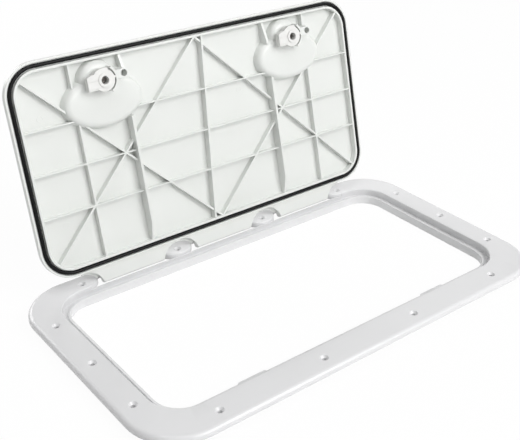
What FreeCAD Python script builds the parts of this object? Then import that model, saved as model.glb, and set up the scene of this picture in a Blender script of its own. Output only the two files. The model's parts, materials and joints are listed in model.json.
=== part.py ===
import FreeCAD, Part
import math
import os

# Inspection hatch, millimetres. X runs along the hinge, +Y points to the hinge, +Z up.
# The origin is the centre of the flange, on the deck surface (the underside of the flange).
# The lid is shaped shut and then turned back on its hinge to the open stop, its rest pose.

# Seal line: the rounded rectangle that the gasket follows, from which lid and recess take their size
SEAL_LENGTH = 516.0
SEAL_WIDTH = 261.2
SEAL_CORNER_R = 36.0
SEAL_STRAND_R = 2.3
SEAL_CLEARANCE = 0.3

# Frame moulding
LAND_SIDE = 37.3
LAND_FRONT = 42.7
LAND_REAR = 33.7
FLANGE_HEIGHT = 8.0
FLANGE_CORNER_R = 66.0
FLANGE_EDGE_R = 6.0
FLANGE_SKIN = 4.0
FRAME_WALL = 3.0
RECESS_EDGE_R = 1.5
RECESS_GAP = 1.5
LIP_WIDTH = 3.4
LIP_TOP_Z = -0.2
LIP_EDGE_R = 0.8
CHANNEL_DEPTH = 2.7
COAMING_DEPTH = 12.2
BOSS_R = 8.0
FLANGE_RIB = 2.4

# Deck screws: two rows of four and two columns of three countersunk holes
SCREW_PITCH = 143.8
SCREW_ROW_INSET = 21.1
SCREW_COLUMN_INSET = 20.5
SCREW_COLUMN_SPACING = 91.0
SCREW_HOLE_R = 2.6
COUNTERSINK_R = 5.3

# Hinge
HINGE_REACH = 18.9
HINGE_HEIGHT = 9.8
OPEN_ANGLE = 102.5
LEAF_END_R = 11.0
LEAF_FACE = 1.6
LEAF_BACK = 3.2
LEAF_CLEARANCE = 0.6
NOTCH_R = 28.5
PAD_GAP = 2.0
PAD_EDGE_R = 2.2
SILL_Z = 2.4
PIN_R = 2.0
PIN_FIT = 0.02
PIN_RUNNING = 0.06
PIN_INSET = 1.0
LUG_WIDTH = 10.0
LUG_SPREAD = 24.0
LUG_R = 4.4
LUG_ARM_DEPTH = 3.0
LUG_GAP = 0.4

# Lid moulding, heights counted from the seal line
LID_MARGIN = 6.2
RIM_PROUD = 0.8
TRAY_DEPTH = 6.4
LID_SKIN = 2.4
LID_EDGE_R = 3.0
RIM_EDGE_R = 0.5
GROOVE_OUT = 3.5
GROOVE_IN = 3.75
GROOVE_FIT = 0.15
INNER_WALL = 3.2
INNER_WALL_PROUD = 2.9

# Lid ribs: depths are how far their free edges stand past the seal line, towards the inside
MAIN_RIB_X = 110.9
MAIN_RIB_T = 3.4
MAIN_RIB_DEPTH = 8.6
MAIN_RIB_END_DEPTH = 0.0
MAIN_RIB_TAPER = 26.0
MINOR_RIB_T = 2.4
MINOR_RIB_DEPTH = 2.1
SIDE_RIB_X = 180.2
CENTRE_RIB_TOP_X = 10.0
CENTRE_RIB_FOOT_X = -13.0
CENTRE_RIB_DEPTH = 3.9
CROSS_RIB_PITCH = 54.8
CROSS_RIB_T = 1.6
CROSS_RIB_DEPTH = 3.0

# Latches: spindles near the front edge, each in a pear-shaped dish sunk into the lid
SPINDLE_X = 145.1
SPINDLE_FROM_SEAL = 31.7
DISH_LOBE_SHIFT = 2.4
DISH_LOBE_BACK = 27.4
DISH_LOBE_LENGTH = 109.6
DISH_LOBE_WIDTH = 68.0
DISH_HUB_R = 27.5
DISH_HUB_BACK = 3.0
DISH_DEPTH = 6.9
DISH_WALL = 2.8
BEARING_R = 9.6
BEARING_IN = 2.0
BEARING_OUT = 2.2
JOURNAL_R = 7.0
JOURNAL_RUNNING = 0.06
SQUARE = 7.0
SQUARE_FIT = 0.05
ORING_R = 1.1
ORING_FIT = 0.05
STACK_GAP = 0.05
SPRING_WASHER_R = 9.2
SPRING_WASHER_T = 0.6
STOP_DISC_R = 9.6
STOP_DISC_T = 1.8
STOP_NOTCH_R = 1.5
CAM_HUB_R = 13.6
CAM_HEIGHT = 13.5
CAM_LIFT = 0.4
CAM_CUP_R = 10.2
CAM_RING_R = 8.3
CAM_RING_H = 1.6
CAM_BORE_R = 5.1
CAM_BORE_DEPTH = 7.4
NIB_REACH = 15.6
NIB_WIDTH = 2.8
NIB_SIDE = 1.6
TONGUE_REACH = 22.6
TONGUE_FRONT = 6.2
TONGUE_BACK = 10.4
TONGUE_STEP = 6.1
TONGUE_GROOVE = 0.8
TONGUE_GROOVE_PLACES = (-0.8, 8.6)
CAM_CLEARANCE = 0.3
CAM_WASHER_R = 5.0
CAM_WASHER_T = 0.8
CAM_SCREW_HEAD_R = 4.2
CAM_SCREW_HEAD_H = 1.8
CAM_SCREW_R = 2.0
CAM_SCREW_LENGTH = 12.0
SCREW_DRIVE_R = 1.4
COLLAR_R = 16.1
COLLAR_T = 2.8
COLLAR_START = -52.0
COLLAR_END = 60.0
COLLAR_BELOW_FACE = 0.6
HANDLE_HUB_R = 14.0
HANDLE_REACH = 44.0
HANDLE_WIDTH = 13.0
HANDLE_BELOW_TOP = 1.2
HANDLE_DEPTH = 7.6
HANDLE_EDGE_R = 2.0
STRIKE_LENGTH = 40.0
STRIKE_CATCH = 2.5
STRIKE_T = 2.8
EYE_REACH = 27.4
EYE_SIDE = 3.4
EYE_R = 6.4
EYE_BORE_R = 4.3
EYE_BORE_DEPTH = 12.0
WEB_T = 11.0

# Side of a latch dish: share of the way up, and how far the side has drawn in there
DISH_SIDE = ((0.0, 0.0), (0.3, 0.5), (0.5, 1.2), (0.67, 2.1), (0.8, 3.4), (0.9, 5.0), (0.97, 7.2), (1.0, 9.6))

# How far inside a dish's foot the deep ribs stop
RIB_IN_DISH = 1.6

# Outline of the cam from the tongue round by the front, as (x, y) from the spindle
CAM_OUTLINE = (
    (-TONGUE_REACH, TONGUE_BACK),
    (-TONGUE_REACH, -TONGUE_FRONT),
    (-17.7, -8.4),
    (-12.6, -9.2),
    (-10.2, -11.7),
    (-4.4, -14.3),
    (5.9, -14.4),
    (10.9, 0.0),
    (6.0, 12.6),
    (-5.0, 13.4),
    (-9.2, TONGUE_BACK),
)

# Places that follow from the sizes above
RECESS_OUT = LID_MARGIN + RECESS_GAP
FLANGE_X = SEAL_LENGTH / 2 + RECESS_OUT + LAND_SIDE
FLANGE_Y = (SEAL_WIDTH + 2 * RECESS_OUT + LAND_FRONT + LAND_REAR) / 2
SEAL_FRONT_Y = -FLANGE_Y + LAND_FRONT + RECESS_OUT
SEAL_REAR_Y = FLANGE_Y - LAND_REAR - RECESS_OUT
SEAL_Z = LIP_TOP_Z + SEAL_CLEARANCE + SEAL_STRAND_R
RECESS_REAR_Y = SEAL_REAR_Y + RECESS_OUT
CHANNEL_Z = LIP_TOP_Z - CHANNEL_DEPTH
SCREW_ROW_Y = FLANGE_Y - SCREW_ROW_INSET
SCREW_COLUMN_X = FLANGE_X - SCREW_COLUMN_INSET
HINGE_Y = SEAL_REAR_Y + HINGE_REACH
HINGE_Z = SEAL_Z + HINGE_HEIGHT
STRIP_FRONT_Y = HINGE_Y + LEAF_END_R + LEAF_CLEARANCE
NOTCH_Y = SEAL_REAR_Y + LID_MARGIN + NOTCH_R
TRAY_Z = SEAL_Z + TRAY_DEPTH
LID_TOP_Z = TRAY_Z + LID_SKIN
LEAF_FACE_Z = SEAL_Z + LEAF_FACE
LEAF_BACK_Z = HINGE_Z + LEAF_BACK
TRAY_OUT = -(GROOVE_IN + INNER_WALL)
SPINDLE_Y = SEAL_FRONT_Y + SPINDLE_FROM_SEAL
PLATEAU_Z = SEAL_Z - DISH_DEPTH
DISH_FLOOR_Z = PLATEAU_Z + DISH_WALL
CAM_TOP_Z = PLATEAU_Z - CAM_LIFT
CAM_LOW_Z = CAM_TOP_Z - CAM_HEIGHT
TONGUE_TOP_Z = CAM_TOP_Z - TONGUE_STEP
COLLAR_LOW_Z = CAM_LOW_Z + COLLAR_BELOW_FACE
THROAT_FRONT_Y = SEAL_FRONT_Y + LIP_WIDTH / 2
PAD_PLACES = [(i - 1.5) * SCREW_PITCH for i in range(4)]
SPAN_PLACES = [(i - 1) * SCREW_PITCH for i in range(3)]
AXIS_X = FreeCAD.Vector(1, 0, 0)
AXIS_Z = FreeCAD.Vector(0, 0, 1)


def vec(x, y, z):
    return FreeCAD.Vector(x, y, z)


def rounded_prism(x0, x1, y0, y1, r, z0, z1):
    """Upright prism on a rectangle with round corners."""
    a = r * (1 - math.sqrt(0.5))
    line = Part.LineSegment
    edges = [
        line(vec(x0 + r, y0, z0), vec(x1 - r, y0, z0)),
        Part.Arc(vec(x1 - r, y0, z0), vec(x1 - a, y0 + a, z0), vec(x1, y0 + r, z0)),
        line(vec(x1, y0 + r, z0), vec(x1, y1 - r, z0)),
        Part.Arc(vec(x1, y1 - r, z0), vec(x1 - a, y1 - a, z0), vec(x1 - r, y1, z0)),
        line(vec(x1 - r, y1, z0), vec(x0 + r, y1, z0)),
        Part.Arc(vec(x0 + r, y1, z0), vec(x0 + a, y1 - a, z0), vec(x0, y1 - r, z0)),
        line(vec(x0, y1 - r, z0), vec(x0, y0 + r, z0)),
        Part.Arc(vec(x0, y0 + r, z0), vec(x0 + a, y0 + a, z0), vec(x0 + r, y0, z0)),
    ]
    wire = Part.Wire([edge.toShape() for edge in edges])
    return Part.Face(wire).extrude(vec(0, 0, z1 - z0))


def seal_prism(out, z0, z1):
    """Prism on the seal line, grown outwards by out."""
    half = SEAL_LENGTH / 2 + out
    return rounded_prism(-half, half, SEAL_FRONT_Y - out, SEAL_REAR_Y + out, SEAL_CORNER_R + out, z0, z1)


def seal_ring(inner, outer, z0, z1):
    """Ring between two outlines round the seal line."""
    return seal_prism(outer, z0, z1).cut(seal_prism(inner, z0 - 1, z1 + 1))


def flange_prism(inset, z0, z1):
    """Prism on the outer outline of the flange, shrunk by inset."""
    x = FLANGE_X - inset
    y = FLANGE_Y - inset
    return rounded_prism(-x, x, -y, y, FLANGE_CORNER_R - inset, z0, z1)


def edges_at(shape, z):
    """Edges that lie level at height z."""
    found = []
    for edge in shape.Edges:
        box = edge.BoundBox
        if abs(box.ZMin - z) < 1e-4 and abs(box.ZMax - z) < 1e-4:
            found.append(edge)
    return found


def box(x0, x1, y0, y1, z0, z1):
    return Part.makeBox(x1 - x0, y1 - y0, z1 - z0, vec(x0, y0, z0))


def disc(r, x, y, z0, z1):
    return Part.makeCylinder(r, z1 - z0, vec(x, y, z0), AXIS_Z)


def tube(outer, inner, x, y, z0, z1):
    return disc(outer, x, y, z0, z1).cut(disc(inner, x, y, z0 - 1, z1 + 1))


def profile_along_x(points, x0, x1):
    """Prism along X whose section is a polygon of (y, z) points."""
    ring = [vec(x0, y, z) for y, z in points]
    return Part.Face(Part.makePolygon(ring + [ring[0]])).extrude(vec(x1 - x0, 0, 0))


def fused(shapes):
    """One solid from several, with the seams between coplanar faces removed."""
    return shapes[0].multiFuse(shapes[1:]).removeSplitter()


def opened(shape):
    """The shape of a shut lid's piece, turned back to the open stop."""
    turned = shape.copy()
    turned.rotate(vec(0, HINGE_Y, HINGE_Z), AXIS_X, -OPEN_ANGLE)
    return turned


def screw_places():
    """Centres of the deck screws: the two rows, then the two columns."""
    places = []
    for y in (-SCREW_ROW_Y, SCREW_ROW_Y):
        places += [(x, y) for x in PAD_PLACES]
    for x in (-SCREW_COLUMN_X, SCREW_COLUMN_X):
        places += [(x, step * SCREW_COLUMN_SPACING) for step in (-1, 0, 1)]
    return places


def frame_flange():
    """Flange skin with its outer wall, recess wall, drain channel, lip and coaming."""
    slab = flange_prism(0, 0, FLANGE_HEIGHT)
    slab = slab.makeFillet(FLANGE_EDGE_R, edges_at(slab, FLANGE_HEIGHT))
    under = FLANGE_HEIGHT - FLANGE_SKIN
    hollow = flange_prism(FLANGE_SKIN, -1, under)
    hollow = hollow.makeFillet(FLANGE_EDGE_R - FLANGE_SKIN, edges_at(hollow, under))
    hollow = hollow.cut(seal_prism(RECESS_OUT + FRAME_WALL, -2, FLANGE_HEIGHT))
    slab = slab.cut(hollow).cut(seal_prism(RECESS_OUT, -1, FLANGE_HEIGHT + 1))
    rim = []
    for edge in edges_at(slab, FLANGE_HEIGHT):
        middle = edge.valueAt((edge.FirstParameter + edge.LastParameter) / 2)
        if abs(middle.x) < SEAL_LENGTH / 2 + RECESS_OUT + 0.1 and middle.y < RECESS_REAR_Y + 0.1:
            if middle.y > SEAL_FRONT_Y - RECESS_OUT - 0.1:
                rim.append(edge)
    slab = slab.makeFillet(RECESS_EDGE_R, rim)
    wall = seal_ring(RECESS_OUT, RECESS_OUT + FRAME_WALL, CHANNEL_Z - FRAME_WALL, under)
    floor = seal_ring(-LIP_WIDTH / 2, RECESS_OUT + FRAME_WALL, CHANNEL_Z - FRAME_WALL, CHANNEL_Z)
    lip = seal_ring(-LIP_WIDTH / 2, LIP_WIDTH / 2, -COAMING_DEPTH, LIP_TOP_Z)
    lip = lip.makeFillet(LIP_EDGE_R, edges_at(lip, LIP_TOP_Z) + edges_at(lip, -COAMING_DEPTH))
    return fused([slab, wall, floor, lip])


def frame_ribs():
    """Screw bosses and cross ribs under the flange."""
    under = FLANGE_HEIGHT - FLANGE_SKIN / 2
    parts = [disc(BOSS_R, x, y, 0, under) for x, y in screw_places()]
    near = FLANGE_Y - FLANGE_SKIN / 2
    far = SEAL_FRONT_Y - RECESS_OUT - FRAME_WALL / 2
    for x in [i * SCREW_PITCH for i in (-1, 0, 1)]:
        parts.append(box(x - FLANGE_RIB / 2, x + FLANGE_RIB / 2, -near, far, 0, under))
    side_out = FLANGE_X - FLANGE_SKIN / 2
    side_in = SEAL_LENGTH / 2 + RECESS_OUT + FRAME_WALL / 2
    for y in [i * SCREW_COLUMN_SPACING / 2 for i in (-1, 1)]:
        for sign in (-1, 1):
            x0 = min(sign * side_in, sign * side_out)
            x1 = max(sign * side_in, sign * side_out)
            parts.append(box(x0, x1, y - FLANGE_RIB / 2, y + FLANGE_RIB / 2, 0, under))
    return parts


def hinge_bay_cut():
    """Windows that the three spans of the hinge leaf swing in."""
    x = PAD_PLACES[-1]
    sill = box(-x, x, RECESS_REAR_Y - 1, RECESS_REAR_Y + FRAME_WALL, SILL_Z, FLANGE_HEIGHT + 1)
    window = box(-x, x, RECESS_REAR_Y + FRAME_WALL, STRIP_FRONT_Y, -1, FLANGE_HEIGHT + 1)
    return sill.fuse(window)


def hinge_pads():
    """Half-moon pads that carry the rear screws, hollow underneath, and the strip behind them."""
    pad_r = NOTCH_R - PAD_GAP
    under = FLANGE_HEIGHT - FLANGE_SKIN
    parts = []
    for x in PAD_PLACES:
        pad = disc(pad_r, x, NOTCH_Y, 0, FLANGE_HEIGHT)
        pad = pad.makeFillet(PAD_EDGE_R, edges_at(pad, FLANGE_HEIGHT))
        pad = pad.cut(disc(pad_r - FRAME_WALL, x, NOTCH_Y, -1, under))
        back = STRIP_FRONT_Y + FRAME_WALL
        pad = pad.common(box(x - pad_r, x + pad_r, RECESS_REAR_Y + 0.2, back, 0, FLANGE_HEIGHT))
        parts.append(pad)
        web = box(x - FLANGE_RIB / 2, x + FLANGE_RIB / 2, NOTCH_Y - pad_r + 1, back, 0, under + 1)
        parts.append(web)
    x = PAD_PLACES[-1]
    parts.append(box(-x, x, STRIP_FRONT_Y, STRIP_FRONT_Y + FRAME_WALL, 0, under + 1))
    return parts


def hinge_lug(x):
    """Lug behind the leaf: a ring round the pin on an arm from the rear strip.

    The top of the arm is a plane that the leaf comes to rest against when the lid is open.
    """
    lean = math.radians(OPEN_ANGLE - 90)
    top_y = HINGE_Y + LUG_R * math.sin(lean)
    top_z = HINGE_Z + LUG_R * math.cos(lean)
    back_y = STRIP_FRONT_Y + FRAME_WALL + 2
    back_z = top_z - (back_y - top_y) * math.tan(lean)
    points = [
        (HINGE_Y, HINGE_Z),
        (top_y, top_z),
        (back_y, back_z),
        (back_y + 3, FLANGE_HEIGHT - 1),
        (STRIP_FRONT_Y, FLANGE_HEIGHT - 1),
        (STRIP_FRONT_Y, HINGE_Z - LUG_ARM_DEPTH),
        (HINGE_Y, HINGE_Z - LUG_ARM_DEPTH),
    ]
    x0 = x - LUG_WIDTH / 2
    x1 = x + LUG_WIDTH / 2
    arm = profile_along_x(points, x0, x1)
    ring = Part.makeCylinder(LUG_R, LUG_WIDTH, vec(x0, HINGE_Y, HINGE_Z), AXIS_X)
    bore = Part.makeCylinder(PIN_R + PIN_FIT, LUG_WIDTH + 2, vec(x0 - 1, HINGE_Y, HINGE_Z), AXIS_X)
    return arm.fuse(ring).cut(bore)


def lug_places():
    return [span + side * LUG_SPREAD for span in SPAN_PLACES for side in (-1, 1)]


def latch_strike(x):
    """Ledge inside the front of the coaming that the latch tongue turns under."""
    reach = SPINDLE_Y - TONGUE_REACH + STRIKE_CATCH
    strike = rounded_prism(
        x - STRIKE_LENGTH / 2,
        x + STRIKE_LENGTH / 2,
        SEAL_FRONT_Y,
        reach,
        FRAME_WALL,
        TONGUE_TOP_Z + CAM_CLEARANCE,
        TONGUE_TOP_Z + CAM_CLEARANCE + STRIKE_T,
    )
    return strike


def make_frame():
    """The frame: one moulding."""
    body = frame_flange().cut(hinge_bay_cut())
    body = fused([body] + hinge_pads() + frame_ribs())
    body = fused([body] + [hinge_lug(x) for x in lug_places()])
    body = fused([body] + [latch_strike(x) for x in (-SPINDLE_X, SPINDLE_X)])
    sink = COUNTERSINK_R - SCREW_HOLE_R
    for x, y in screw_places():
        body = body.cut(disc(SCREW_HOLE_R, x, y, -1, FLANGE_HEIGHT + 1))
        cone = Part.makeCone(SCREW_HOLE_R, COUNTERSINK_R, sink, vec(x, y, FLANGE_HEIGHT - sink), AXIS_Z)
        body = body.cut(cone)
    return body


def lid_body():
    """Outer skin, rim, gasket groove and the wall inside the groove."""
    rim_z = SEAL_Z - RIM_PROUD
    plate = seal_prism(LID_MARGIN, rim_z, LID_TOP_Z)
    plate = plate.makeFillet(LID_EDGE_R, edges_at(plate, LID_TOP_Z))
    plate = plate.makeFillet(RIM_EDGE_R, edges_at(plate, rim_z))
    groove_z = SEAL_Z + SEAL_STRAND_R + GROOVE_FIT
    plate = plate.cut(seal_prism(GROOVE_OUT, rim_z - 1, groove_z))
    plate = plate.cut(seal_prism(TRAY_OUT, rim_z, TRAY_Z))
    wall_z = SEAL_Z - INNER_WALL_PROUD
    wall = seal_ring(TRAY_OUT, -GROOVE_IN, wall_z, TRAY_Z)
    wall = wall.makeFillet(RIM_EDGE_R, edges_at(wall, wall_z))
    return fused([plate, wall])


def leaf_profile():
    """Section of the hinge leaf, with its end rounded about the hinge axis."""
    face_z = LEAF_FACE_Z
    low_y = math.sqrt(LEAF_END_R ** 2 - (HINGE_Z - face_z) ** 2)
    high_y = math.sqrt(LEAF_END_R ** 2 - LEAF_BACK ** 2)
    rim_y = SEAL_REAR_Y + LID_MARGIN
    root_y = rim_y - LID_EDGE_R - LID_SKIN
    start = vec(0, HINGE_Y + low_y, face_z)
    end = vec(0, HINGE_Y + high_y, LEAF_BACK_Z)
    mid = vec(0, HINGE_Y + LEAF_END_R * math.cos(0.2), HINGE_Z - LEAF_END_R * math.sin(0.2))
    corners = [
        end,
        vec(0, rim_y, LEAF_BACK_Z),
        vec(0, root_y, LID_TOP_Z),
        vec(0, root_y, TRAY_Z + LID_SKIN / 2),
        vec(0, rim_y - 1, TRAY_Z + LID_SKIN / 2),
        vec(0, rim_y - 1, face_z),
        start,
    ]
    edges = [Part.Arc(start, mid, end).toShape()]
    for near, far in zip(corners, corners[1:]):
        edges.append(Part.LineSegment(near, far).toShape())
    return Part.Face(Part.Wire(edges))


def lid_leaf():
    """Hinge leaf in three spans between round notches, slotted for the lugs and bored for the pins."""
    half = PAD_PLACES[-1]
    leaf = leaf_profile()
    leaf.translate(vec(-half, 0, 0))
    leaf = leaf.extrude(vec(2 * half, 0, 0))
    for x in PAD_PLACES:
        leaf = leaf.cut(disc(NOTCH_R, x, NOTCH_Y, SEAL_Z - 1, LEAF_BACK_Z + 1))
    slot_half = LUG_WIDTH / 2 + LUG_GAP
    hub = LUG_R + LUG_GAP
    for x in lug_places():
        slot = box(
            x - slot_half,
            x + slot_half,
            HINGE_Y - hub,
            HINGE_Y + LEAF_END_R + 1,
            HINGE_Z - LUG_ARM_DEPTH - LUG_GAP,
            LEAF_BACK_Z + 1,
        )
        hole = Part.makeCylinder(hub, 2 * slot_half, vec(x - slot_half, HINGE_Y, HINGE_Z), AXIS_X)
        leaf = leaf.cut(slot.fuse(hole))
    bore_r = PIN_R + PIN_RUNNING
    bore = Part.makeCylinder(bore_r, 2 * half, vec(-half, HINGE_Y, HINGE_Z), AXIS_X)
    return leaf.cut(bore)


def rib(x0, y0, x1, y1, thick, depth):
    """Straight rib on the tray floor from one point to another."""
    length = math.hypot(x1 - x0, y1 - y0)
    z0 = SEAL_Z - depth
    bar = Part.makeBox(length, thick, TRAY_Z + 1 - z0, vec(0, -thick / 2, z0))
    bar.rotate(vec(0, 0, 0), AXIS_Z, math.degrees(math.atan2(y1 - y0, x1 - x0)))
    bar.translate(vec(x0, y0, 0))
    return bar


def main_rib(x):
    """Deep rib across the lid that falls away towards both ends and stops in the side of a dish."""
    y0 = SEAL_FRONT_Y - TRAY_OUT - 1
    y1 = SEAL_REAR_Y + TRAY_OUT + 1
    low = SEAL_Z - MAIN_RIB_DEPTH
    end = SEAL_Z - MAIN_RIB_END_DEPTH
    top = TRAY_Z + 1
    points = [
        (y0, top),
        (y0, end),
        (y0 + MAIN_RIB_TAPER, low),
        (y1 - MAIN_RIB_TAPER, low),
        (y1, end),
        (y1, top),
    ]
    bar = profile_along_x(points, x - MAIN_RIB_T / 2, x + MAIN_RIB_T / 2)
    return bar.cut(dish_foot(math.copysign(SPINDLE_X, x), RIB_IN_DISH, low - 1, top + 1))


def lid_ribs():
    """All ribs of the tray, trimmed to its wall."""
    half = SEAL_LENGTH / 2 + TRAY_OUT + 1
    front = SEAL_FRONT_Y - TRAY_OUT - 1
    rear = SEAL_REAR_Y + TRAY_OUT + 1
    middle = (front + rear) / 2
    bars = [main_rib(-MAIN_RIB_X), main_rib(MAIN_RIB_X)]
    for x in (-SIDE_RIB_X, SIDE_RIB_X):
        bars.append(rib(x, front, x, rear, MINOR_RIB_T, MINOR_RIB_DEPTH))
    bars.append(rib(CENTRE_RIB_TOP_X, front, CENTRE_RIB_FOOT_X, rear, MINOR_RIB_T, CENTRE_RIB_DEPTH))
    for x in (-half, half):
        bars.append(rib(0, front, x, rear, MINOR_RIB_T, MINOR_RIB_DEPTH))
        bars.append(rib(0, rear, x, front, MINOR_RIB_T, MINOR_RIB_DEPTH))
    for step in (-1, 0, 1):
        y = middle + step * CROSS_RIB_PITCH
        bars.append(rib(-half, y, half, y, CROSS_RIB_T, CROSS_RIB_DEPTH))
    room = seal_prism(TRAY_OUT + INNER_WALL / 2, SEAL_Z - MAIN_RIB_DEPTH - 1, TRAY_Z + LID_SKIN / 2)
    return [bar.common(room) for bar in bars]


def ellipse_wire(x, y, z, long_r, short_r):
    curve = Part.Ellipse(vec(x, y, z), long_r, short_r)
    return Part.Wire([curve.toShape()])


def circle_wire(x, y, z, r):
    return Part.Wire([Part.Circle(vec(x, y, z), AXIS_Z, r).toShape()])


def dish_solid(x, low_z, wall, top):
    """Domed body of a dish with a flat bottom: a wide lobe and a round head about the spindle."""
    lobe_x = x + DISH_LOBE_SHIFT
    lobe_y = SPINDLE_Y + DISH_LOBE_BACK
    head_y = SPINDLE_Y + DISH_HUB_BACK
    levels = [(top, wall)]
    for share, inward in DISH_SIDE:
        levels.append((TRAY_Z + share * (low_z - TRAY_Z), inward + wall))
    lobes = []
    heads = []
    for z, shrink in levels:
        long_r = DISH_LOBE_LENGTH / 2 - shrink
        short_r = DISH_LOBE_WIDTH / 2 - shrink
        lobes.append(ellipse_wire(lobe_x, lobe_y, z, long_r, short_r))
        heads.append(circle_wire(x, head_y, z, DISH_HUB_R - shrink))
    return Part.makeLoft(lobes, True, True).fuse(Part.makeLoft(heads, True, True))


def dish_foot(x, inward, z0, z1):
    """Upright prism on the outline of a dish at the tray floor, shrunk by inward."""
    long_r = DISH_LOBE_LENGTH / 2 - inward
    short_r = DISH_LOBE_WIDTH / 2 - inward
    lobe = ellipse_wire(x + DISH_LOBE_SHIFT, SPINDLE_Y + DISH_LOBE_BACK, z0, long_r, short_r)
    head = disc(DISH_HUB_R - inward, x, SPINDLE_Y + DISH_HUB_BACK, z0, z1)
    return Part.Face(lobe).extrude(vec(0, 0, z1 - z0)).fuse(head)


def dish_shell(x):
    """Outer form of a dish, as it stands inside the lid."""
    return dish_solid(x, PLATEAU_Z, 0, TRAY_Z + LID_SKIN / 2)


def dish_hollow(x):
    """The hollow of a dish, open at the outer face of the lid."""
    return dish_solid(x, DISH_FLOOR_Z, DISH_WALL, LID_TOP_Z + 1)


def sector(x, start, end, z0, z1):
    """Wedge about the spindle from one angle to another, counted from +X."""
    far = 3 * COLLAR_R
    points = [vec(x, SPINDLE_Y, z0)]
    for angle in (start, (start + end) / 2, end):
        turn = math.radians(angle)
        points.append(vec(x + far * math.cos(turn), SPINDLE_Y + far * math.sin(turn), z0))
    return Part.Face(Part.makePolygon(points + [points[0]])).extrude(vec(0, 0, z1 - z0))


def latch_collar(x):
    """Curved guard beside the cam, with a bored eye on a broad web."""
    top = PLATEAU_Z + 1
    ring = tube(COLLAR_R + COLLAR_T, COLLAR_R, x, SPINDLE_Y, COLLAR_LOW_Z, top)
    collar = ring.common(sector(x, COLLAR_START, COLLAR_END, COLLAR_LOW_Z - 1, top + 1))
    eye_y = SPINDLE_Y - EYE_SIDE
    eye = disc(EYE_R, x + EYE_REACH, eye_y, COLLAR_LOW_Z, TRAY_Z + 1)
    web = box(x, x + EYE_REACH, eye_y - WEB_T / 2, eye_y + WEB_T / 2, COLLAR_LOW_Z, top)
    web = web.cut(disc(COLLAR_R + COLLAR_T / 2, x, SPINDLE_Y, COLLAR_LOW_Z - 1, top + 1))
    return [collar, eye, web]


def make_lid():
    """The lid: one moulding."""
    body = fused([lid_body()] + lid_ribs())
    body = fused([body, lid_leaf()])
    centres = (-SPINDLE_X, SPINDLE_X)
    for x in centres:
        bearing = disc(BEARING_R, x, SPINDLE_Y, PLATEAU_Z - BEARING_IN, PLATEAU_Z + 1)
        body = fused([body, dish_shell(x), bearing] + latch_collar(x))
    for x in centres:
        body = body.cut(dish_hollow(x))
        boss = disc(BEARING_R, x, SPINDLE_Y, DISH_FLOOR_Z - 1, DISH_FLOOR_Z + BEARING_OUT)
        body = fused([body, boss])
        bore_r = JOURNAL_R + JOURNAL_RUNNING
        body = body.cut(disc(bore_r, x, SPINDLE_Y, PLATEAU_Z - BEARING_IN - 1, LID_TOP_Z))
        eye_top = COLLAR_LOW_Z + EYE_BORE_DEPTH
        eye_y = SPINDLE_Y - EYE_SIDE
        body = body.cut(disc(EYE_BORE_R, x + EYE_REACH, eye_y, COLLAR_LOW_Z - 1, eye_top))
    return body


def make_gasket():
    """Round strand along the seal line."""
    half = SEAL_LENGTH / 2
    r = SEAL_CORNER_R
    z = SEAL_Z
    a = r * (1 - math.sqrt(0.5))
    y0 = SEAL_FRONT_Y
    y1 = SEAL_REAR_Y
    line = Part.LineSegment
    edges = [
        line(vec(0, y0, z), vec(half - r, y0, z)),
        Part.Arc(vec(half - r, y0, z), vec(half - a, y0 + a, z), vec(half, y0 + r, z)),
        line(vec(half, y0 + r, z), vec(half, y1 - r, z)),
        Part.Arc(vec(half, y1 - r, z), vec(half - a, y1 - a, z), vec(half - r, y1, z)),
        line(vec(half - r, y1, z), vec(r - half, y1, z)),
        Part.Arc(vec(r - half, y1, z), vec(a - half, y1 - a, z), vec(-half, y1 - r, z)),
        line(vec(-half, y1 - r, z), vec(-half, y0 + r, z)),
        Part.Arc(vec(-half, y0 + r, z), vec(a - half, y0 + a, z), vec(r - half, y0, z)),
        line(vec(r - half, y0, z), vec(0, y0, z)),
    ]
    path = Part.Wire([edge.toShape() for edge in edges])
    section = Part.Wire([Part.Circle(vec(0, y0, z), AXIS_X, SEAL_STRAND_R).toShape()])
    return path.makePipeShell([section], True, False)


def make_pin(x):
    """Stainless hinge pin through one span of the leaf, set back from the notches at its ends."""
    rise = NOTCH_Y - HINGE_Y
    notch_half = math.sqrt(NOTCH_R ** 2 - rise ** 2)
    half = SCREW_PITCH / 2 - notch_half - PIN_INSET
    pin = Part.makeCylinder(PIN_R, 2 * half, vec(x - half, HINGE_Y, HINGE_Z), AXIS_X)
    return pin


def square_bar(x, side, z0, z1):
    half = side / 2
    return box(x - half, x + half, SPINDLE_Y - half, SPINDLE_Y + half, z0, z1)


def stack_heights():
    """Heights of the pieces under the bearing boss, from the boss downwards."""
    boss = PLATEAU_Z - BEARING_IN
    spring_top = boss - STACK_GAP
    spring_low = spring_top - SPRING_WASHER_T
    disc_top = spring_low - STACK_GAP
    disc_low = disc_top - STOP_DISC_T
    return spring_top, spring_low, disc_top, disc_low


def shoulder_z():
    """Height of the shoulder in the cam that its washer and screw bear on."""
    return CAM_LOW_Z + CAM_BORE_DEPTH


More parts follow.
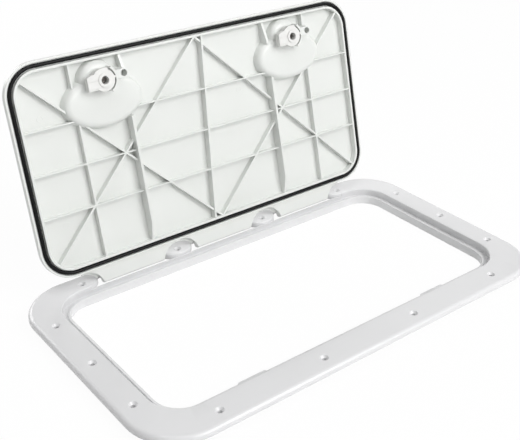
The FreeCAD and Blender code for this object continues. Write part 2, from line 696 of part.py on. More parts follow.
def make_handle(x):
    """Lever, hub, journal and square spindle in one moulding."""
    base = DISH_FLOOR_Z + BEARING_OUT + STACK_GAP
    top = LID_TOP_Z - HANDLE_BELOW_TOP
    hub = disc(HANDLE_HUB_R, x, SPINDLE_Y, base, top)
    hub = hub.makeFillet(HANDLE_EDGE_R, edges_at(hub, top))
    half = HANDLE_WIDTH / 2
    lever = rounded_prism(
        x - half,
        x + HANDLE_REACH,
        SPINDLE_Y - half,
        SPINDLE_Y + half,
        half - 0.5,
        top - HANDLE_DEPTH,
        top,
    )
    lever = lever.makeFillet(HANDLE_EDGE_R, edges_at(lever, top) + edges_at(lever, top - HANDLE_DEPTH))
    lever.rotate(vec(x, SPINDLE_Y, 0), AXIS_Z, 45)
    boss = PLATEAU_Z - BEARING_IN
    journal = disc(JOURNAL_R, x, SPINDLE_Y, boss, base + 1)
    seat_z = DISH_FLOOR_Z
    half_groove = ORING_R + ORING_FIT
    groove_r = JOURNAL_R - 2 * ORING_R - ORING_FIT
    groove = tube(JOURNAL_R + 1, groove_r, x, SPINDLE_Y, seat_z - half_groove, seat_z + half_groove)
    shank = square_bar(x, SQUARE, shoulder_z() + STACK_GAP, boss + 1)
    handle = fused([hub, lever, journal, shank]).cut(groove)
    pilot = disc(CAM_SCREW_R, x, SPINDLE_Y, shoulder_z() - 1, shoulder_z() + CAM_SCREW_LENGTH)
    return handle.cut(pilot)


def make_oring(x):
    """Spindle seal in the groove of the journal."""
    ring_r = JOURNAL_R - ORING_R
    return Part.makeTorus(ring_r, ORING_R, vec(x, SPINDLE_Y, DISH_FLOOR_Z), AXIS_Z)


def make_spring_washer(x):
    top, low = stack_heights()[0:2]
    return tube(SPRING_WASHER_R, JOURNAL_R, x, SPINDLE_Y, low, top)


def make_stop_disc(x):
    """Disc on the square of the spindle, with notches that hold the latch shut and open."""
    top, low = stack_heights()[2:4]
    body = disc(STOP_DISC_R, x, SPINDLE_Y, low, top)
    body = body.cut(square_bar(x, SQUARE + 2 * SQUARE_FIT, low - 1, top + 1))
    for angle in (0, 90):
        reach = STOP_DISC_R
        notch_x = x + reach * math.cos(math.radians(angle))
        notch_y = SPINDLE_Y - reach * math.sin(math.radians(angle))
        body = body.cut(disc(STOP_NOTCH_R, notch_x, notch_y, low - 1, top + 1))
    return body


def make_cam(x):
    """Cam with a thick tongue, a raised ring round its deep screw bore and a nib inside the collar.

    It is hollow on the side of the lid, where the bearing boss, spring washer and stop disc sit.
    """
    top = CAM_TOP_Z
    low = CAM_LOW_Z
    hub = disc(CAM_HUB_R, x, SPINDLE_Y, low, top)
    ring_points = [vec(x + dx, SPINDLE_Y + dy, low) for dx, dy in CAM_OUTLINE]
    block = Part.Face(Part.makePolygon(ring_points + [ring_points[0]])).extrude(vec(0, 0, TONGUE_TOP_Z - low))
    nib_y = SPINDLE_Y - NIB_SIDE
    nib = box(x, x + NIB_REACH, nib_y - NIB_WIDTH / 2, nib_y + NIB_WIDTH / 2, low, low + CAM_RING_R)
    body = fused([hub, block, nib])
    ring = disc(CAM_RING_R, x, SPINDLE_Y, low - CAM_RING_H, low + 1)
    cam = fused([body, ring])
    for place in TONGUE_GROOVE_PLACES:
        line = box(
            x - TONGUE_REACH + 2,
            x - CAM_RING_R - 1.5,
            SPINDLE_Y + place - TONGUE_GROOVE / 2,
            SPINDLE_Y + place + TONGUE_GROOVE / 2,
            low - 1,
            low + TONGUE_GROOVE,
        )
        cam = cam.cut(line)
    cup_low = stack_heights()[3] - STACK_GAP
    cam = cam.cut(disc(CAM_CUP_R, x, SPINDLE_Y, cup_low, top + 1))
    cam = cam.cut(square_bar(x, SQUARE + 2 * SQUARE_FIT, shoulder_z() - 1, top + 1))
    return cam.cut(disc(CAM_BORE_R, x, SPINDLE_Y, low - CAM_RING_H - 1, shoulder_z()))


def make_cam_washer(x):
    top = shoulder_z()
    return tube(CAM_WASHER_R, CAM_SCREW_R + 0.1, x, SPINDLE_Y, top - CAM_WASHER_T, top)


def make_cam_screw(x):
    """Pan-head screw into the end of the spindle."""
    seat = shoulder_z() - CAM_WASHER_T
    head = disc(CAM_SCREW_HEAD_R, x, SPINDLE_Y, seat - CAM_SCREW_HEAD_H, seat)
    head = head.makeFillet(0.8, edges_at(head, seat - CAM_SCREW_HEAD_H))
    drive_low = seat - CAM_SCREW_HEAD_H - 1
    for turn in (0, 90):
        arm = box(
            x - SCREW_DRIVE_R * 1.6,
            x + SCREW_DRIVE_R * 1.6,
            SPINDLE_Y - SCREW_DRIVE_R / 3,
            SPINDLE_Y + SCREW_DRIVE_R / 3,
            drive_low,
            drive_low + 2.2,
        )
        arm.rotate(vec(x, SPINDLE_Y, 0), AXIS_Z, turn + 45)
        head = head.cut(arm)
    shank = disc(CAM_SCREW_R, x, SPINDLE_Y, seat - 0.2, seat - 0.2 + CAM_SCREW_LENGTH - 1)
    return fused([head, shank])


def save(name, shape):
    """Write one piece, as its solid, to parts/NAME.step."""
    solids = shape.Solids
    piece = solids[0] if len(solids) == 1 else Part.makeCompound(solids)
    piece.exportStep("parts/" + name + ".step")
    print(name, len(solids), shape.isValid(), round(shape.Volume, 1))


def main():
    os.makedirs("parts", exist_ok=True)
    save("frame", make_frame())
    for name, x in zip(("left", "middle", "right"), SPAN_PLACES):
        save("hinge_pin_" + name, make_pin(x))
    save("lid", opened(make_lid()))
    save("lid_gasket", opened(make_gasket()))
    makers = {
        "handle": make_handle,
        "spindle_oring": make_oring,
        "spring_washer": make_spring_washer,
        "stop_disc": make_stop_disc,
        "cam": make_cam,
        "cam_washer": make_cam_washer,
        "cam_screw": make_cam_screw,
    }
    for side, x in (("left", -SPINDLE_X), ("right", SPINDLE_X)):
        for piece, maker in makers.items():
            save("latch_" + side + "_" + piece, opened(maker(x)))


main()
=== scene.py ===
import json
import logging
import math
from dataclasses import dataclass, field
from enum import Enum
from typing import Any, Dict, Optional, Tuple, Union

import bpy
import numpy as np
from mathutils import Matrix, Vector


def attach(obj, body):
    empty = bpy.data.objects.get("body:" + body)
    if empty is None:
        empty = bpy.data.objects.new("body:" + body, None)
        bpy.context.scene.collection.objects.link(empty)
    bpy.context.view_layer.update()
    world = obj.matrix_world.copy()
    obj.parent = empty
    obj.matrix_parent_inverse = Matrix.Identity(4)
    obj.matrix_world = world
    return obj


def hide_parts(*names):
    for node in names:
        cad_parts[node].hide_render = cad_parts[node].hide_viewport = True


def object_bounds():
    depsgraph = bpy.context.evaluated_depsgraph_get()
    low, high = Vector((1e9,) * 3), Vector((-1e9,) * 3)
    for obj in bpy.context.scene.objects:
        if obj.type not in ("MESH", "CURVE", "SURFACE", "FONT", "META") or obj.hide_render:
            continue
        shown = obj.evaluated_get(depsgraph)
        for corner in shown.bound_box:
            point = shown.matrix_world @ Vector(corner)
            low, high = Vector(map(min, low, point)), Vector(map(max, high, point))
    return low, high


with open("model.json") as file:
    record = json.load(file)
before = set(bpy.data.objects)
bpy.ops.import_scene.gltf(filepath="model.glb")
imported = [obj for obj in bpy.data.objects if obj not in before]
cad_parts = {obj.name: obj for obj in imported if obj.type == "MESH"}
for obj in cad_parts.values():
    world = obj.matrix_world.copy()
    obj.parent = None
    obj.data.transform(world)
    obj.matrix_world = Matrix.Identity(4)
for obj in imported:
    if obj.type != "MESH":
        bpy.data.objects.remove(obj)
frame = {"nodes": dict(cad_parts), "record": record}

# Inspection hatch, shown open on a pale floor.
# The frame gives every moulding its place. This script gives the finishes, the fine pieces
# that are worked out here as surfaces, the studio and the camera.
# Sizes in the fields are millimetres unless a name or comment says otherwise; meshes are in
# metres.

CAD_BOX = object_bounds()
LOG = logging.getLogger("hatch")
MM = 0.001
Point = Tuple[float, float, float]
LIGHT_WHITE = "#FFFFFF"


def linear(hex_colour: str) -> Tuple[float, float, float, float]:
    """Turns an sRGB hex colour into linear RGBA.

    Args:
        hex_colour: Six hex digits, with or without a leading mark.

    Returns:
        Red, green, blue and an alpha of one, linear.
    """
    digits = hex_colour.lstrip("#")
    parts = [int(digits[i:i + 2], 16) / 255 for i in (0, 2, 4)]
    red, green, blue = [c / 12.92 if c <= 0.04045 else ((c + 0.055) / 1.055) ** 2.4
                        for c in parts]
    return (red, green, blue, 1.0)


def add_node(tree: bpy.types.NodeTree, kind: str, inputs: Optional[Dict[Any, Any]] = None,
             **settings: Any) -> bpy.types.Node:
    """Adds a shader node with its settings and links.

    Args:
        tree: The node tree that gets the node.
        kind: The node's type name.
        inputs: Socket name or index to a value, or to an output socket to link from.
        **settings: Properties of the node itself.

    Returns:
        The new node.
    """
    node = tree.nodes.new(kind)
    for name, value in settings.items():
        setattr(node, name, value)
    for key, value in (inputs or {}).items():
        socket = node.inputs[key]
        if isinstance(value, bpy.types.NodeSocket):
            tree.links.new(value, socket)
        else:
            socket.default_value = value
    return node


def new_material(name: str) -> Tuple[bpy.types.Material, bpy.types.NodeTree]:
    """Makes an empty node material and returns it with its tree."""
    material = bpy.data.materials.new(name)
    material.use_nodes = True
    material.node_tree.nodes.clear()
    return material, material.node_tree


def dress(obj: bpy.types.Object, material: bpy.types.Material) -> None:
    """Puts one material on an object, in place of whatever it had."""
    obj.data.materials.clear()
    obj.data.materials.append(material)


def add_piece(name: str, places: np.ndarray, faces: np.ndarray, body: str,
              sharp_deg: float) -> bpy.types.Object:
    """Makes one smooth-shaded piece from arrays, riding on a body of the frame.

    Args:
        name: Name of the piece.
        places: Vertices in metres, one row each.
        faces: Vertex numbers of the faces, all with the same number of corners.
        body: The body that carries the piece.
        sharp_deg: Edges that turn by more than this stay crisp.

    Returns:
        The new object, at the origin and unturned.
    """
    corners = faces.shape[1]
    mesh = bpy.data.meshes.new(name)
    mesh.vertices.add(len(places))
    mesh.vertices.foreach_set("co", places.astype(np.float32).ravel())
    mesh.loops.add(faces.size)
    mesh.loops.foreach_set("vertex_index", faces.astype(np.int32).ravel())
    mesh.polygons.add(len(faces))
    mesh.polygons.foreach_set("loop_start", np.arange(len(faces), dtype=np.int32) * corners)
    mesh.update(calc_edges=True)
    mesh.validate()
    mesh.shade_smooth()
    mesh.set_sharp_from_angle(angle=math.radians(sharp_deg))
    obj = bpy.data.objects.new(name, mesh)
    bpy.context.scene.collection.objects.link(obj)
    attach(obj, body)
    return obj


@dataclass(frozen=True)
class Welder:
    """Makes a smooth copy of a node: its loose triangles joined, shaded as one curved skin."""

    grid_mm: float = 0.0005
    sharp_deg: float = 24.0

    def copy(self, node: str, body: str) -> bpy.types.Object:
        """Joins the corners that share a place and hides the node behind the copy.

        Corners are rounded to a grid far finer than the mesh, and those that fall together
        become one vertex. Triangles that close up to a line are left out.

        Args:
            node: The node of the frame that is copied.
            body: The body that carries it.

        Returns:
            The welded copy.
        """
        data = frame["nodes"][node].data
        places = np.empty(len(data.vertices) * 3, np.float64)
        data.vertices.foreach_get("co", places)
        places = places.reshape(-1, 3)
        corners = np.empty(len(data.loops), np.int32)
        data.loops.foreach_get("vertex_index", corners)
        keys = np.round(places / (self.grid_mm * MM)).astype(np.int64)
        _, first, joined = np.unique(keys, axis=0, return_index=True, return_inverse=True)
        faces = joined.reshape(-1)[corners].reshape(-1, 3)
        whole = (faces[:, 0] != faces[:, 1]) & (faces[:, 1] != faces[:, 2])
        whole &= faces[:, 0] != faces[:, 2]
        obj = add_piece(node + "_skin", places[first], faces[whole], body, self.sharp_deg)
        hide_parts(node)
        return obj


class SteelFinish(Enum):
    """How a stainless piece got its surface."""

    DRAWN = "drawn"
    TURNED = "turned"
    STAMPED = "stamped"


@dataclass(frozen=True)
class MouldedPlastic:
    """Injection-moulded white ASA or nylon: glossy, with a faint orange peel and slow warp.

    Light slides over it in soft, slightly wavering bands, because the skin follows the polished
    tool but shrinks a little over ribs and thick places.
    """

    name: str
    colour: str
    shade: str
    roughness: float
    patch_mm: float = 90.0
    peel_mm: float = 1.4
    peel_depth_mm: float = 0.006
    warp_mm: float = 38.0
    warp_depth_mm: float = 0.05
    ior: float = 1.51

    def material(self) -> bpy.types.Material:
        """Builds the node material: warm and cool patches, even gloss, peel and warp."""
        material, tree = new_material(self.name)
        place = add_node(tree, "ShaderNodeTexCoord").outputs["Object"]
        slow = add_node(tree, "ShaderNodeTexNoise", {
            "Vector": place, "Scale": 1 / (self.patch_mm * MM), "Detail": 2.0,
            "Roughness": 0.5})
        tint = add_node(tree, "ShaderNodeMix", {
            "Factor": slow.outputs["Fac"], 6: linear(self.colour), 7: linear(self.shade)},
            data_type="RGBA")
        warp = add_node(tree, "ShaderNodeTexNoise", {
            "Vector": place, "Scale": 1 / (self.warp_mm * MM), "Detail": 1.0, "Roughness": 0.4})
        peel = add_node(tree, "ShaderNodeTexNoise", {
            "Vector": place, "Scale": 1 / (self.peel_mm * MM), "Detail": 2.0, "Roughness": 0.5})
        broad = add_node(tree, "ShaderNodeBump", {
            "Height": warp.outputs["Fac"], "Strength": 1.0, "Distance": self.warp_depth_mm * MM})
        fine = add_node(tree, "ShaderNodeBump", {
            "Height": peel.outputs["Fac"], "Strength": 1.0, "Distance": self.peel_depth_mm * MM,
            "Normal": broad.outputs["Normal"]})
        shader = add_node(tree, "ShaderNodeBsdfPrincipled", {
            "Base Color": tint.outputs[2], "Roughness": self.roughness,
            "Normal": fine.outputs["Normal"], "IOR": self.ior})
        add_node(tree, "ShaderNodeOutputMaterial", {"Surface": shader.outputs["BSDF"]})
        return material


@dataclass(frozen=True)
class ExtrudedRubber:
    """Black EPDM strand or ring: satin skin with fine die lines and a little bloom and dust.

    It is nearly black, with only a thin grey sheen where the skin faces the light.
    """

    name: str
    colour: str
    bloom: str
    roughness: float
    cloud_mm: float = 14.0
    grain_mm: float = 0.9
    grain_depth_mm: float = 0.03
    ior: float = 1.52
    specular: float = 0.14

    def material(self) -> bpy.types.Material:
        """Builds the node material: bloom in cloudy patches, satin gloss and a fine grain."""
        material, tree = new_material(self.name)
        place = add_node(tree, "ShaderNodeTexCoord").outputs["Object"]
        cloud = add_node(tree, "ShaderNodeTexNoise", {
            "Vector": place, "Scale": 1 / (self.cloud_mm * MM), "Detail": 5.0,
            "Roughness": 0.6})
        dust = add_node(tree, "ShaderNodeMapRange", {
            "Value": cloud.outputs["Fac"], "From Min": 0.42, "From Max": 0.75,
            "To Min": 0.0, "To Max": 1.0})
        tint = add_node(tree, "ShaderNodeMix", {
            "Factor": dust.outputs["Result"], 6: linear(self.colour), 7: linear(self.bloom)},
            data_type="RGBA")
        gloss = add_node(tree, "ShaderNodeMapRange", {
            "Value": cloud.outputs["Fac"], "From Min": 0.3, "From Max": 0.7,
            "To Min": self.roughness - 0.06, "To Max": self.roughness + 0.08})
        grain = add_node(tree, "ShaderNodeTexNoise", {
            "Vector": place, "Scale": 1 / (self.grain_mm * MM), "Detail": 2.0, "Roughness": 0.5})
        bump = add_node(tree, "ShaderNodeBump", {
            "Height": grain.outputs["Fac"], "Strength": 0.6,
            "Distance": self.grain_depth_mm * MM})
        shader = add_node(tree, "ShaderNodeBsdfPrincipled", {
            "Base Color": tint.outputs[2], "Roughness": gloss.outputs["Result"],
            "Normal": bump.outputs["Normal"], "IOR": self.ior,
            "Specular IOR Level": self.specular})
        add_node(tree, "ShaderNodeOutputMaterial", {"Surface": shader.outputs["BSDF"]})
        return material


@dataclass(frozen=True)
class StainlessSteel:
    """A2 stainless steel, drawn, turned or stamped: warm grey metal with fine tool marks."""

    name: str
    finish: SteelFinish
    colour: str = "#B9B6B1"
    roughness: float = 0.28
    mark_mm: float = 0.35
    mark_depth_mm: float = 0.01

    def stretch(self) -> Point:
        """How much longer the marks are than wide, along X, Y and Z."""
        if self.finish is SteelFinish.DRAWN:
            return (0.04, 1.0, 1.0)
        if self.finish is SteelFinish.TURNED:
            return (1.0, 0.25, 1.0)
        return (1.0, 1.0, 1.0)

    def material(self) -> bpy.types.Material:
        """Builds the node material: metal with stretched tool marks in gloss and bump."""
        material, tree = new_material(self.name)
        place = add_node(tree, "ShaderNodeTexCoord").outputs["Object"]
        lay = add_node(tree, "ShaderNodeMapping", {"Vector": place, "Scale": self.stretch()})
        marks = add_node(tree, "ShaderNodeTexNoise", {
            "Vector": lay.outputs["Vector"], "Scale": 1 / (self.mark_mm * MM), "Detail": 3.0,
            "Roughness": 0.6})
        gloss = add_node(tree, "ShaderNodeMapRange", {
            "Value": marks.outputs["Fac"], "From Min": 0.3, "From Max": 0.7,
            "To Min": self.roughness - 0.07, "To Max": self.roughness + 0.1})
        bump = add_node(tree, "ShaderNodeBump", {
            "Height": marks.outputs["Fac"], "Strength": 0.5,
            "Distance": self.mark_depth_mm * MM})
        shader = add_node(tree, "ShaderNodeBsdfPrincipled", {
            "Base Color": linear(self.colour), "Metallic": 1.0,
            "Roughness": gloss.outputs["Result"], "Normal": bump.outputs["Normal"]})
        add_node(tree, "ShaderNodeOutputMaterial", {"Surface": shader.outputs["BSDF"]})
        return material


@dataclass(frozen=True)
class Softbox:
    """One soft rectangular lamp of the studio."""

    name: str
    place: Point
    aim: Point
    size: Tuple[float, float]
    watts: float

    def hang(self) -> None:
        """Hangs the lamp, square to the point that it lights."""
        data = bpy.data.lights.new(self.name, "AREA")
        data.shape = "RECTANGLE"
        data.size, data.size_y = self.size[0] * MM, self.size[1] * MM
        data.energy = self.watts
        lamp = bpy.data.objects.new(self.name, data)
        bpy.context.scene.collection.objects.link(lamp)
        lamp.location = Vector(self.place) * MM
        ahead = Vector(self.aim) - Vector(self.place)
        lamp.rotation_euler = ahead.to_track_quat("-Z", "Y").to_euler()
        LOG.info("%s at %s", self.name, self.place)


@dataclass
class Studio:
    """Pale floor, plain soft lamps, white surroundings and the camera of the photograph."""

    camera_position: Point = (-626.81, -790.80, 649.33)
    camera_target: Point = (152.80, 144.74, 8.0)
    camera_roll_deg: float = -0.805
    focal_px: float = 916.887
    centre_px: Tuple[float, float] = (309.293, 204.303)
    frame_px: Tuple[float, float] = (520.0, 440.0)
    sensor: float = 36.0
    clip_m: Tuple[float, float] = (0.05, 50.0)
    floor_half: float = 6000.0
    floor_paint: str = "#FBFBFB"
    floor_glow_share: float = 0.96
    room_strength: float = 0.12
    lamps: Tuple[Softbox, ...] = (
        Softbox("key_softbox", (820, -2400, 2000), (0, 60, 80), (2300, 2400), 90),
        Softbox("top_softbox", (-600, -300, 2600), (0, 60, 0), (1600, 1200), 17),
        Softbox("side_softbox", (1700, 0, 1700), (0, 60, 80), (1200, 1200), 1.0),
        Softbox("rear_panel", (1500, 1700, 1300), (0, 0, 0), (1800, 1400), 6),
        Softbox("back_softbox", (-700, 2300, 900), (0, 200, 150), (1600, 1200), 24),
    )

    def camera(self) -> None:
        """Sets the camera from its measured place, its roll and its principal point."""
        data = bpy.data.cameras.new("photo_camera")
        camera = bpy.data.objects.new("photo_camera", data)
        bpy.context.scene.collection.objects.link(camera)
        position = Vector(self.camera_position)
        ahead = (Vector(self.camera_target) - position).normalized()
        level = ahead.cross(Vector((0, 0, 1))).normalized()
        down = ahead.cross(level).normalized()
        roll = math.radians(self.camera_roll_deg)
        right = math.cos(roll) * level + math.sin(roll) * down
        up = math.sin(roll) * level - math.cos(roll) * down
        turn = Matrix((right, up, -ahead)).transposed().to_4x4()
        camera.matrix_world = Matrix.Translation(position * MM) @ turn
        width = self.frame_px[0]
        data.sensor_fit = "HORIZONTAL"
        data.sensor_width = self.sensor
        data.lens = self.focal_px / width * self.sensor
        data.shift_x = -(self.centre_px[0] - width / 2) / width
        data.shift_y = (self.centre_px[1] - self.frame_px[1] / 2) / width
        data.clip_start, data.clip_end = self.clip_m
        bpy.context.scene.camera = camera

    def white_for_camera(self, tree: bpy.types.NodeTree) -> bpy.types.NodeSocket:
        """A factor that is one for rays from the camera and for those seen in gloss or glass."""
        path = add_node(tree, "ShaderNodeLightPath")
        seen = add_node(tree, "ShaderNodeMath", {
            0: path.outputs["Is Camera Ray"], 1: path.outputs["Is Glossy Ray"]},
            operation="MAXIMUM")
        both = add_node(tree, "ShaderNodeMath", {
            0: seen.outputs["Value"], 1: path.outputs["Is Transmission Ray"]},
            operation="MAXIMUM")
        return both.outputs["Value"]

    def surroundings(self) -> None:
        """White to the camera, and a soft even light on the object."""
        world = bpy.data.worlds.new("studio_room")
        bpy.context.scene.world = world
        world.use_nodes = True
        tree = world.node_tree
        tree.nodes.clear()
        seen = self.white_for_camera(tree)
        soft = add_node(tree, "ShaderNodeBackground", {
            "Color": linear(LIGHT_WHITE), "Strength": self.room_strength})
        white = add_node(tree, "ShaderNodeBackground", {
            "Color": linear(LIGHT_WHITE), "Strength": 1.0})
        mix = add_node(tree, "ShaderNodeMixShader", {
            0: seen, 1: soft.outputs["Background"], 2: white.outputs["Background"]})
        add_node(tree, "ShaderNodeOutputWorld", {"Surface": mix.outputs["Shader"]})

    def floor(self, level: float) -> None:
        """Pale floor under the object, white where the light is full and faintly grey in shade.

        Args:
            level: Height of the floor in metres.
        """
        half = self.floor_half * MM
        corners = [(-half, -half, level), (half, -half, level), (half, half, level),
                   (-half, half, level)]
        mesh = bpy.data.meshes.new("studio_floor")
        mesh.from_pydata(corners, [], [(0, 1, 2, 3)])
        obj = bpy.data.objects.new("studio_floor", mesh)
        bpy.context.scene.collection.objects.link(obj)
        material, tree = new_material("pale_painted_floor")
        paint = add_node(tree, "ShaderNodeBsdfDiffuse", {"Color": linear(self.floor_paint)})
        glow = add_node(tree, "ShaderNodeEmission", {
            "Color": linear(LIGHT_WHITE), "Strength": 1.0})
        share = add_node(tree, "ShaderNodeMath", {
            0: self.white_for_camera(tree), 1: self.floor_glow_share}, operation="MULTIPLY")
        mix = add_node(tree, "ShaderNodeMixShader", {
            0: share.outputs["Value"], 1: paint.outputs["BSDF"], 2: glow.outputs["Emission"]})
        add_node(tree, "ShaderNodeOutputMaterial", {"Surface": mix.outputs["Shader"]})
        dress(obj, material)

    def build(self, level: float) -> None:
        """Sets the colour handling and builds floor, room, lamps and camera.

        Args:
            level: Height of the floor in metres.
        """
        view = bpy.context.scene.view_settings
        view.view_transform = "Standard"
        self.floor(level)
        self.surroundings()
        for lamp in self.lamps:
            lamp.hang()
        self.camera()


@dataclass(frozen=True)
class OpenLid:
    """Turns places of the shut lid to where they are on the open one."""

    hinge_y: float = 154.0
    hinge_z: float = 12.2
    open_deg: float = 102.5

    def places(self, x: np.ndarray, y: np.ndarray, z: np.ndarray) -> np.ndarray:
        """Turns places about the hinge line, backwards by the opening angle, and gives metres."""
        turn = math.radians(self.open_deg)
        dy, dz = y - self.hinge_y, z - self.hinge_z
        opened_y = self.hinge_y + dy * math.cos(turn) + dz * math.sin(turn)
        opened_z = self.hinge_z - dy * math.sin(turn) + dz * math.cos(turn)
        return np.stack([x, opened_y, opened_z], -1) * MM


@dataclass(frozen=True)
class GasketStrand:
    """The black strand in the lid's groove: a round cord bent along a rounded rectangle."""

    length: float = 516.0
    width: float = 261.2
    corner_r: float = 36.0
    front_y: float = -126.1
    level_z: float = 2.4
    strand_r: float = 2.3
    around: int = 20
    corner_points: int = 19
    step: float = 5.0
    sharp_deg: float = 60.0

    def line(self) -> Tuple[np.ndarray, np.ndarray]:
        """Points of the strand's centre line and its outward directions, seen from above.

        Each corner is a quarter circle, and each straight is divided into equal steps.
        """
        half = self.length / 2 - self.corner_r
        near = self.front_y + self.corner_r
        far = self.front_y + self.width - self.corner_r
        centres = ((half, near, -90), (half, far, 0), (-half, far, 90), (-half, near, 180))
        points, outward = [], []
        for index, (x, y, start) in enumerate(centres):
            angle = np.radians(np.linspace(start, start + 90, self.corner_points))
            ray = np.stack([np.cos(angle), np.sin(angle)], -1)
            arc = np.array([x, y]) + self.corner_r * ray
            points.append(arc)
            outward.append(ray)
            goal = np.array(centres[(index + 1) % len(centres)][:2]) + self.corner_r * ray[-1]
            count = max(2, int(np.linalg.norm(goal - arc[-1]) / self.step))
            share = np.linspace(0, 1, count + 1)[1:-1, None]
            points.append(arc[-1] + share * (goal - arc[-1]))
            outward.append(np.repeat(ray[-1:], count - 1, 0))
        return np.concatenate(points), np.concatenate(outward)

    def build(self, lid: OpenLid) -> bpy.types.Object:
        """Sweeps the round section along the closed line and turns it to the open lid."""
        line, outward = self.line()
        turn = np.linspace(0, 2 * math.pi, self.around, endpoint=False)
        reach = self.strand_r * np.cos(turn)
        x = line[:, :1] + outward[:, :1] * reach
        y = line[:, 1:] + outward[:, 1:] * reach
        z = np.broadcast_to(self.level_z + self.strand_r * np.sin(turn), x.shape)
        places = lid.places(x, y, z).reshape(-1, 3)
        along, round_ = np.meshgrid(np.arange(len(line)), np.arange(self.around), indexing="ij")
        after = (along + 1) % len(line)
        beside = (round_ + 1) % self.around
        count = self.around
        faces = np.stack([along * count + round_, after * count + round_,
                          after * count + beside, along * count + beside], -1).reshape(-1, 4)
        obj = add_piece("gasket_strand", places, faces, "lid", self.sharp_deg)
        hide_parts("lid_gasket")
        return obj


@dataclass(frozen=True)
class EjectorMarks:
    """Faint raised rings that the ejector pins of the mould left on the floor of the lid."""

    places_xy: Tuple[Tuple[float, float], ...] = (
        (-225.0, -62.0), (-221.0, 75.0), (62.0, -35.0), (27.0, 112.0), (-126.0, 23.0),
        (228.0, 60.0))
    floor_z: float = 8.8
    ring_r: float = 3.6
    bead_r: float = 0.35
    proud: float = 0.14
    ring_steps: int = 40
    bead_steps: int = 8
    sharp_deg: float = 60.0

    def build(self, lid: OpenLid) -> bpy.types.Object:
        """Lays one flat bead ring at each place: a low arch swept round a circle."""
        around = np.linspace(0, 2 * math.pi, self.ring_steps, endpoint=False)
        arch = np.linspace(0, 2 * math.pi, self.bead_steps, endpoint=False)
        radius = self.ring_r + self.bead_r * np.cos(arch)
        drop = self.proud * np.sin(arch)
        centre = np.array(self.places_xy)
        x = centre[:, :1, None] + np.cos(around)[None, :, None] * radius
        y = centre[:, 1:, None] + np.sin(around)[None, :, None] * radius
        z = np.broadcast_to(self.floor_z - drop, x.shape)
        places = lid.places(x, y, z).reshape(-1, 3)
        mark, ring, bead = np.meshgrid(np.arange(len(centre)), np.arange(self.ring_steps),
                                       np.arange(self.bead_steps), indexing="ij")
        here = (mark * self.ring_steps + ring) * self.bead_steps
        there = (mark * self.ring_steps + (ring + 1) % self.ring_steps) * self.bead_steps
        after = (bead + 1) % self.bead_steps
        faces = np.stack([here + bead, here + after, there + after, there + bead],
                         -1).reshape(-1, 4)
        obj = add_piece("ejector_marks", places, faces, "lid", self.sharp_deg)
        return obj


@dataclass(frozen=True)
class NotchLedges:
    """Thin ledges inside the round notches of the hinge leaf, which roof the rims of the pads.

    They stop short of the hinge line, so that they swing clear of the pads.
    """

    pads: int = 4
    pitch: float = 143.8
    centre_y: float = 169.8
    outer_r: float = 28.9
    inner_r: float = 24.2
    low_z: float = 9.2
    high_z: float = 11.4
    edge_mm: float = 0.5
    front_deg: float = 270.0
    reach_deg: float = 54.0
    steps: int = 36
    sharp_deg: float = 30.0

    def section(self) -> np.ndarray:
        """Radius and height round the section: a rectangle with its two inner corners cut."""
        e = self.edge_mm
        return np.array([
            (self.outer_r, self.low_z), (self.inner_r + e, self.low_z),
            (self.inner_r, self.low_z + e), (self.inner_r, self.high_z - e),
            (self.inner_r + e, self.high_z), (self.outer_r, self.high_z)])

    def ledge(self, x: float, start: float, end: float) -> Tuple[np.ndarray, np.ndarray]:
        """Turns the section about the centre of one pad.

        Args:
            x: Where the pad is along the hinge.
            start: First angle in degrees, counted from +X.
            end: Last angle.

        Returns:
            Places of the shut lid, and the triangles between them with both ends closed.
        """
        section = self.section()
        corners = len(section)
        angle = np.radians(np.linspace(start, end, self.steps))[:, None]
        places = np.stack([x + section[:, 0] * np.cos(angle),
                           self.centre_y + section[:, 0] * np.sin(angle),
                           np.broadcast_to(section[:, 1], (self.steps, corners))], -1)
        along, round_ = np.meshgrid(np.arange(self.steps - 1), np.arange(corners), indexing="ij")
        here = along * corners + round_
        beside = along * corners + (round_ + 1) % corners
        sides = np.concatenate([
            np.stack([here, beside, beside + corners], -1).reshape(-1, 3),
            np.stack([here, beside + corners, here + corners], -1).reshape(-1, 3)])
        fan = np.stack([np.zeros(corners - 2, int), np.arange(2, corners),
                        np.arange(1, corners - 1)], -1)
        far = fan[:, ::-1] + (self.steps - 1) * corners
        return places.reshape(-1, 3), np.concatenate([sides, fan, far])

    def build(self, lid: OpenLid) -> bpy.types.Object:
        """Makes the four ledges, the outer two as halves, and turns them to the open lid."""
        spots, faces, count = [], [], 0
        middle = (self.pads - 1) / 2
        for index in range(self.pads):
            start = self.front_deg - (self.reach_deg if index > 0 else 0.0)
            end = self.front_deg + (self.reach_deg if index < self.pads - 1 else 0.0)
            places, corners = self.ledge((index - middle) * self.pitch, start, end)
            spots.append(places)
            faces.append(corners + count)
            count += len(places)
        shut = np.concatenate(spots)
        places = lid.places(shut[:, 0], shut[:, 1], shut[:, 2])
        obj = add_piece("notch_ledges", places, np.concatenate(faces), "lid",
                        self.sharp_deg)
        return obj


Finish = Union[MouldedPlastic, ExtrudedRubber, StainlessSteel]


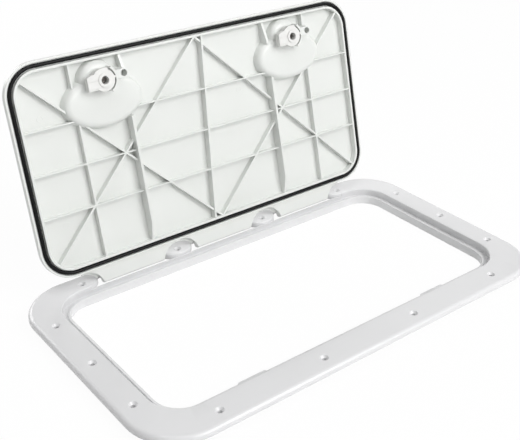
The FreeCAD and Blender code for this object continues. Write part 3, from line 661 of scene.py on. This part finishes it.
@dataclass
class Hatch:
    """The object: which finish each moulding, seal and fastener of the frame gets."""

    welder: Welder = Welder()
    lid: OpenLid = OpenLid()
    strand: GasketStrand = GasketStrand()
    marks: EjectorMarks = EjectorMarks()
    ledges: NotchLedges = NotchLedges()
    finishes: Dict[str, Finish] = field(default_factory=lambda: {
        "frame": MouldedPlastic("gloss_moulded_asa_frame", "#E2E2E3", "#DDDDDE", 0.24),
        "lid": MouldedPlastic("gloss_moulded_asa_lid", "#E2E4E1", "#DEE0DD", 0.3),
        "latch": MouldedPlastic("moulded_white_nylon", "#E4E4E2", "#DEDEDB", 0.33),
        "gasket": ExtrudedRubber("extruded_black_epdm", "#070708", "#0D0D0E", 0.4),
        "oring": ExtrudedRubber("moulded_black_nitrile", "#0E0E0F", "#151516", 0.35),
        "pin": StainlessSteel("drawn_stainless_pin", SteelFinish.DRAWN),
        # The dark grey colours of the cam screw and its washer are painted shade: they make the
        # deep bore of the cam, where the steel sits, look dark.
        "screw": StainlessSteel("shade_darkened_stainless_screw", SteelFinish.TURNED,
                                "#625F5C", 0.36),
        "washer": StainlessSteel("shade_darkened_stainless_washer", SteelFinish.STAMPED,
                                 "#5B5956", 0.4),
    })

    def finish_of(self, node: str) -> str:
        """Names the finish that a node of the frame takes.

        Args:
            node: Name of the node. The first of the words below that it holds decides.

        Returns:
            The key of the finish.
        """
        if "pin_" in node:
            return "pin"
        for word in ("washer", "screw", "oring", "gasket", "latch", "lid"):
            if word in node:
                return word
        return "frame"

    def build(self) -> None:
        """Dresses every node, shows it through a smooth copy and adds the fine pieces."""
        made = {key: finish.material() for key, finish in self.finishes.items()}
        carriers = {node: body for body, nodes in
                    frame["record"]["behaviour"]["bodies"].items() for node in nodes}
        for name, obj in frame["nodes"].items():
            key = self.finish_of(name)
            dress(obj, made[key])
            if name != "lid_gasket":
                skin = self.welder.copy(name, carriers[name])
                dress(skin, made[key])
            LOG.info("%s in %s", name, made[key].name)
        for maker, key in ((self.strand, "gasket"), (self.marks, "lid"), (self.ledges, "lid")):
            piece = maker.build(self.lid)
            dress(piece, made[key])
            LOG.info("%s in %s", piece.name, made[key].name)


def main() -> None:
    """Builds the hatch and the studio, and logs the lamps' places and the finish of each piece.
    """
    logging.basicConfig(level=logging.INFO, format="%(name)s: %(message)s")
    Hatch().build()
    Studio().build(CAD_BOX[0].z)


if __name__ == "__main__":
    main()
